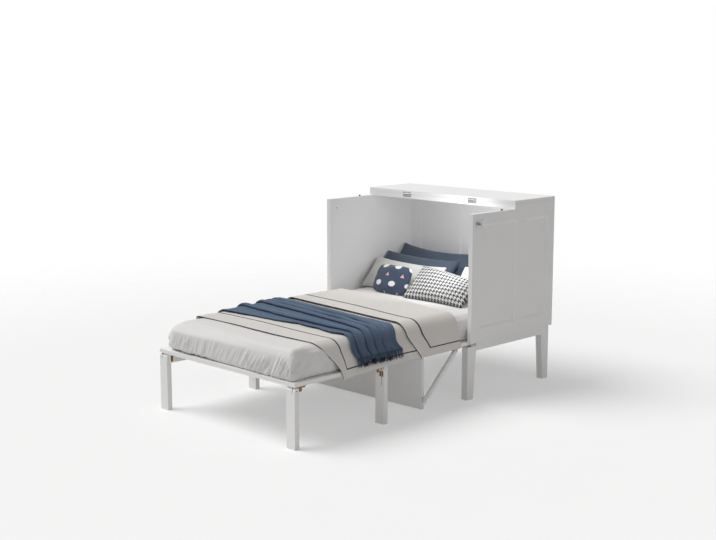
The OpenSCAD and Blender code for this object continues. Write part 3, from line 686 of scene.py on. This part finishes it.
def throw_rows(across):
    """The throw cut along the bed at one place: flat runs, and folds that lap over the run before them."""
    places = []
    for n, values in enumerate(EDGES):
        wobble = 0.007 * ripple(across * 4.3, n * 3.7) + 0.0035 * ripple(across * 13, n * 5.1, 2.0)
        if n == 0:
            wobble += 0.014 * ripple(across * 8.5, 4.4) + 0.007 * ripple(across * 26, 1.0)
        places.append(FOOT + along_line(ACROSS, values, across) + wobble)
    rows = [(places[0] - 0.001, 0.0), (places[0], 0.0022)]
    last, height = places[0] + 0.002, 0.0025
    for n, place in enumerate(places[1:5]):
        lap = (0.026, 0.015, 0.017, 0.022)[n] * (1 + 0.3 * ripple(across * 3.1, n * 2.3, 6.0))
        full = 1 + 0.35 * ripple(across * 3.7, n * 4.1, 3.0)
        end = place + lap
        for step in range(8):
            y = last + (end - last) * step / 7
            rows.append((y, height * (1 - smooth(0.0, 0.030, y - last))))
        rows += [
            (end + 0.0035, 0.0030),
            (end + 0.0010, 0.0066 * full),
            (place + 0.55 * lap, 0.0076 * full),
            (place + 0.10 * lap, 0.0078 * full),
            (place - 0.0045, 0.0086 * full),
            (place - 0.0068, 0.0112 * full),
            (place - 0.0060, 0.0142 * full),
            (place - 0.0020, 0.0164 * full),
            (place + 0.0050, 0.0168 * full),
            (place + 0.0140, 0.0152 * full),
        ]
        last, height = place + 0.026, 0.0128 * full
    for step in range(12):
        y = last + (places[5] - last) * step / 11
        rows.append((y, height * (1 - smooth(0.0, 0.045, y - last)) + 0.0016))
    return rows


def throw_point(across, y, rise):
    """A point of the throw in its place over the quilt, with a little slack on top and flutes where it hangs."""
    hang = hanging(across)
    slack = 0.0016 * ripple(across * 12, y * 16, 3.0) + 0.0022 * ripple(across * 3.0, y * 5.0, 9.0)
    flute = 0.5 + 0.5 * math.sin(y * 62 + 3.0 * ripple(y * 7, 1.0))
    return over_bed(across, y, 0.0098 + rise + max(slack, -0.001) * (1 - hang) + hang * 0.0075 * flute)


def make_throw_cloth():
    columns = 176
    shape = [throw_rows(THROW_HALF * (2 * n / columns - 1)) for n in range(columns + 1)]
    rows = len(shape[0])
    bm = bmesh.new()
    bmesh.ops.create_grid(bm, x_segments=columns, y_segments=rows - 1, size=0.5)
    layer = bm.loops.layers.uv.new("cloth")
    middle = shape[columns // 2]
    travelled = [0.0]
    for first, second in zip(middle, middle[1:]):
        travelled.append(travelled[-1] + math.dist(first, second))
    for face in bm.faces:
        for loop in face.loops:
            x, y, _ = loop.vert.co
            row = round((y + 0.5) * (rows - 1))
            loop[layer].uv = ((x + 0.5) * 2 * THROW_HALF, travelled[row])
    for vert in bm.verts:
        column = round((vert.co.x + 0.5) * columns)
        row = round((vert.co.y + 0.5) * (rows - 1))
        vert.co = throw_point(THROW_HALF * (2 * column / columns - 1), *shape[column][row])
    turn_cloth(bm, up=True)
    return bm


def rod_mesh():
    """A straight rod of five rings, from z 0 to z 1, from which each strand of the fringe is made."""
    bm = bmesh.new()
    middle = Matrix.Translation((0, 0, 0.5))
    bmesh.ops.create_cone(bm, cap_ends=True, segments=3, radius1=1.0, radius2=1.0, depth=1.0, matrix=middle)
    upright = [e for e in bm.edges if abs(e.verts[0].co.z - e.verts[1].co.z) > 0.5]
    bmesh.ops.subdivide_edges(bm, edges=upright, cuts=3, use_grid_fill=True)
    mesh = bpy.data.meshes.new("rod")
    bm.to_mesh(mesh)
    bm.free()
    return mesh


def strand(bm, rod, root, along, side, length, thick, swing):
    """One twisted strand of the fringe: a thin tapered rod that curls a little as it hangs."""
    bm.from_mesh(rod)
    for vert in bm.verts[-len(rod.vertices) :]:
        x, y, share = vert.co
        size = thick * (1.0 - 0.35 * share)
        curl = Vector((side * 0.004, swing * 0.009, 0)) * share * share
        vert.co = root + along * (length * share) + curl + Vector((side * size * y, size * x, 0))


def make_fringe(name, rng):
    """Strands that hang from both ends of the throw, in small knotted groups."""
    bm = bmesh.new()
    rod = rod_mesh()
    hem = {side: throw_rows(side * THROW_HALF) for side in (-1, 1)}
    for side, rows in hem.items():
        for (y, rise), (next_y, next_rise) in zip(rows, rows[1:]):
            count = max(round(abs(next_y - y) / 0.0019), 1)
            for n in range(count):
                share = (n + rng.random()) / count
                at_y, at_rise = y + (next_y - y) * share, rise + (next_rise - rise) * share
                root = throw_point(side * THROW_HALF, at_y, at_rise)
                if (root.y < HINGE_Y) != (name == "foot"):
                    continue
                way = Vector((side * rng.uniform(0.06, 0.24), rng.uniform(-0.20, 0.20), -1)).normalized()
                strand(
                    bm,
                    rod,
                    root - way * 0.004 + Vector((side * 0.003, 0, 0)),
                    way,
                    side,
                    rng.uniform(0.036, 0.052),
                    rng.uniform(0.0011, 0.0018),
                    rng.uniform(-1, 1),
                )
    bpy.data.meshes.remove(rod)
    for vert in bm.verts:  # a folded bed's fringe stays within the thickness of the side boards
        vert.co.x = math.copysign(min(abs(vert.co.x), 0.534), vert.co.x)
    # The fringe's across coordinate is its height over the hem, so it takes the throw's painted shade at its darkest.
    flat_uv(bm, lambda vert: (vert.co.z - HEM_Z, vert.co.y))
    bmesh.ops.recalc_face_normals(bm, faces=bm.faces[:])
    return bm


def make_throw():
    rng = random.Random(11)
    whole = make_throw_cloth()
    for name, low, high, body, length in (
        ("foot", None, HINGE_Y, "foot_section", 0.42),
        ("mid", HINGE_Y, None, "mid_section", 0.27),
    ):
        part = whole.copy()
        cut_lengthwise(part, low, high, False)
        piece = piece_from(part, f"{name}_throw", "blue_throw", body)
        thicken(piece, 0.0028)
        fringe = piece_from(make_fringe(name, rng), f"{name}_fringe", "blue_throw", body)
        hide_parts(f"throw_{name}")
        for item in (piece, fringe):
            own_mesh(item)
    whole.free()


make_throw()


# Pillows


def bag(width, length, pitch, rounding):
    """A flat bag of two layers with a narrow wall between them, and with its corners drawn in."""
    bm = bmesh.new()
    bmesh.ops.create_cube(bm, size=1.0)
    bmesh.ops.scale(bm, vec=(width, length, 0.010), verts=bm.verts)
    for axis, cuts in ((0, round(width / pitch)), (1, round(length / pitch))):
        along = [e for e in bm.edges if abs((e.verts[0].co - e.verts[1].co).normalized()[axis]) > 0.9]
        bmesh.ops.subdivide_edges(bm, edges=along, cuts=cuts, use_grid_fill=True)
    flat_uv(bm, lambda vert: (vert.co.x + width / 2, vert.co.y + length / 2))
    for vert in bm.verts:
        u, v = 2 * vert.co.x / width, 2 * vert.co.y / length
        vert.co.x *= 1 - rounding * v**4
        vert.co.y *= 1 - rounding * u**4
    return bm


# Width, height and thickness, then the place: from the middle line, and in front of the back panel. Lean and turn are
# in degrees. Sag lowers the middle of the top edge and droop one top corner. Drawn is the share of the filling's pull
# on the outline that stays, and rounding the share by which the corners are drawn in beforehand.
PILLOW_FACTS = ("slot", "size", "place", "lean", "turn", "sag", "droop", "drawn", "rounding")
PILLOW_TABLE = {
    "rear_slate_pillow": ("slate_cotton", (0.650, 0.268, 0.076), (-0.150, 0.248), 34, 0, 0.022, 0.0, 0.85, 0.0),
    "front_slate_pillow": ("slate_cotton", (0.560, 0.232, 0.074), (-0.222, 0.358), 38, 0, 0.006, 0.008, 0.8, 0.0),
    "beige_pillow": ("beige_cotton", (0.541, 0.214, 0.066), (-0.212, 0.466), 42, 0, 0.006, 0.008, 0.7, 0.0),
    "cream_pillow": ("cream_cotton", (0.300, 0.215, 0.068), (0.330, 0.441), 38, 0, 0.0, 0.0, 0.7, 0.0),
    "check_pillow": ("check_weave", (0.440, 0.232, 0.070), (0.162, 0.578), 47, -2, 0.004, 0.036, 0.5, 0.0),
    "navy_cushion": ("navy_cotton", (0.262, 0.172, 0.066), (-0.196, 0.548), 28, 0, 0.0, 0.0, 0.3, 0.13),
}
PILLOWS = {name: dict(zip(PILLOW_FACTS, row)) for name, row in PILLOW_TABLE.items()}
BACK_Y = FOOT + 1.916


def blown(bm, drawn):
    """Fills a flat bag with air by a cloth simulation. drawn is the share of its pull on the outline that stays."""
    mesh = bpy.data.meshes.new("bag")
    bm.to_mesh(mesh)
    copy = bpy.data.objects.new("bag", mesh)
    scene = bpy.context.scene
    scene.collection.objects.link(copy)
    air = copy.modifiers.new("air", "CLOTH")
    cloth = air.settings
    cloth.use_pressure = True
    cloth.uniform_pressure_force = 4.0
    cloth.effector_weights.gravity = 0.0
    cloth.tension_stiffness = cloth.compression_stiffness = 18.0
    cloth.shear_stiffness = 6.0
    cloth.bending_stiffness = 0.15
    cloth.quality = 6
    air.collision_settings.use_collision = False
    air.point_cache.frame_start, air.point_cache.frame_end = 1, 11
    for number in range(1, 12):
        scene.frame_set(number)
    filled = copy.evaluated_get(bpy.context.evaluated_depsgraph_get())
    ends = [vert.co.copy() for vert in filled.to_mesh().vertices]
    filled.to_mesh_clear()
    scene.frame_set(1)
    bpy.data.objects.remove(copy)
    bpy.data.meshes.remove(mesh)
    for vert, end in zip(bm.verts, ends):
        vert.co = (*vert.co.xy.lerp(end.xy, drawn), end.z)


def fit_pillow(bm, width, length, thick, sag, droop):
    """Brings a filled bag to its size, and lets its top edge sag and one top corner droop."""
    sizes = [max(vert.co[i] for vert in bm.verts) - min(vert.co[i] for vert in bm.verts) for i in range(3)]
    for vert in bm.verts:
        for i, size in enumerate((width, length, thick)):
            vert.co[i] *= size / sizes[i]
        u, v = 2 * vert.co.x / width, 2 * vert.co.y / length
        vert.co.y -= (sag * (1 - u * u) + droop * smooth(-0.4, 1.0, u)) * smooth(-0.2, 1.0, v)


def make_pillows():
    made = []
    for seed, (name, facts) in enumerate(PILLOWS.items()):
        width, length, thick = facts["size"]
        bm = bag(width, length, 0.008, facts["rounding"])
        blown(bm, facts["drawn"])
        fit_pillow(bm, width, length, thick, facts["sag"], facts["droop"])
        across, forward = facts["place"]
        where = (
            Matrix.Translation((across, BACK_Y - forward, MATTRESS_TOP))
            @ Matrix.Rotation(math.radians(facts["turn"]), 4, "Z")
            @ Matrix.Rotation(math.radians(90 - facts["lean"]), 4, "X")
            @ Matrix.Translation((0, length / 2, 0))
        )
        bmesh.ops.transform(bm, matrix=where, verts=bm.verts)
        piece = piece_from(bm, name.replace("_pillow", "_cushion") + "_cover", facts["slot"], "cabinet")
        rounder = piece.modifiers.new("rounder", "SUBSURF")
        rounder.levels = rounder.render_levels = 1
        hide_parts(name)
        made.append(piece)
    for piece in made:
        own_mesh(piece)


make_pillows()


# Floor and light


def make_stage():
    floor_bm = bmesh.new()
    bmesh.ops.create_grid(floor_bm, x_segments=1, y_segments=1, size=30.0)
    mesh = bpy.data.meshes.new("floor")
    floor_bm.to_mesh(mesh)
    floor_bm.free()
    floor = bpy.data.objects.new("floor", mesh)
    bpy.context.scene.collection.objects.link(floor)
    paint = Paint("pale_floor")
    grain = paint.noise(paint.place(), 3.0, 2.0)
    away = paint.node("ShaderNodeVectorMath", {"operation": "LENGTH"}, {0: paint.place()}, "Value")
    edge = paint.node(
        "ShaderNodeMapRange",
        {"interpolation_type": "SMOOTHSTEP"},
        {"Value": away, "From Min": 1.6, "From Max": 5.5, "To Min": 0.7, "To Max": 0.0},
    )
    paint.set(
        base_color=paint.mix(grain, (0.95, 0.95, 0.95), (0.97, 0.97, 0.97)), roughness=0.9, alpha=edge
    )
    mesh.materials.append(paint.material)

    world = bpy.data.worlds.new("studio")
    world.use_nodes = True
    bpy.context.scene.world = world
    nodes, links = world.node_tree.nodes, world.node_tree.links
    light = nodes["Background"]
    light.inputs["Color"].default_value = (1.0, 0.98, 0.97, 1)
    light.inputs["Strength"].default_value = 0.26
    white = nodes.new("ShaderNodeBackground")
    white.inputs["Color"].default_value = (1, 1, 1, 1)
    rays = nodes.new("ShaderNodeLightPath")
    seen = rays.outputs["Is Camera Ray"]
    for other in ("Is Glossy Ray", "Is Transmission Ray"):
        either = nodes.new("ShaderNodeMath")
        either.operation = "MAXIMUM"
        links.new(seen, either.inputs[0])
        links.new(rays.outputs[other], either.inputs[1])
        seen = either.outputs[0]
    mixed = nodes.new("ShaderNodeMixShader")
    links.new(seen, mixed.inputs[0])
    links.new(light.outputs[0], mixed.inputs[1])
    links.new(white.outputs[0], mixed.inputs[2])
    links.new(mixed.outputs[0], nodes["World Output"].inputs["Surface"])

    for name, way, power in (
        ("key", (-0.46, -0.31, 0.83), 2.15),
        ("fill", (0.75, -0.45, 0.48), 0.30),
    ):
        sun = bpy.data.lights.new(name, "SUN")
        sun.energy = power
        sun.angle = math.radians(40)
        lamp = bpy.data.objects.new(name, sun)
        lamp.rotation_euler = Vector(way).to_track_quat("Z", "Y").to_euler()
        bpy.context.scene.collection.objects.link(lamp)
    panel = bpy.data.lights.new("inside", "AREA")
    panel.size = 0.22
    panel.energy = 1.6
    panel.color = (0.96, 0.97, 1.0)
    lamp = bpy.data.objects.new("inside", panel)
    lamp.location = (0.27, 0.36, 0.84)
    lamp.rotation_euler = Vector((0.52, -0.80, 0.20)).to_track_quat("Z", "Y").to_euler()
    lamp.visible_camera = False
    bpy.context.scene.collection.objects.link(lamp)
    bpy.context.scene.view_settings.view_transform = "Standard"


make_stage()
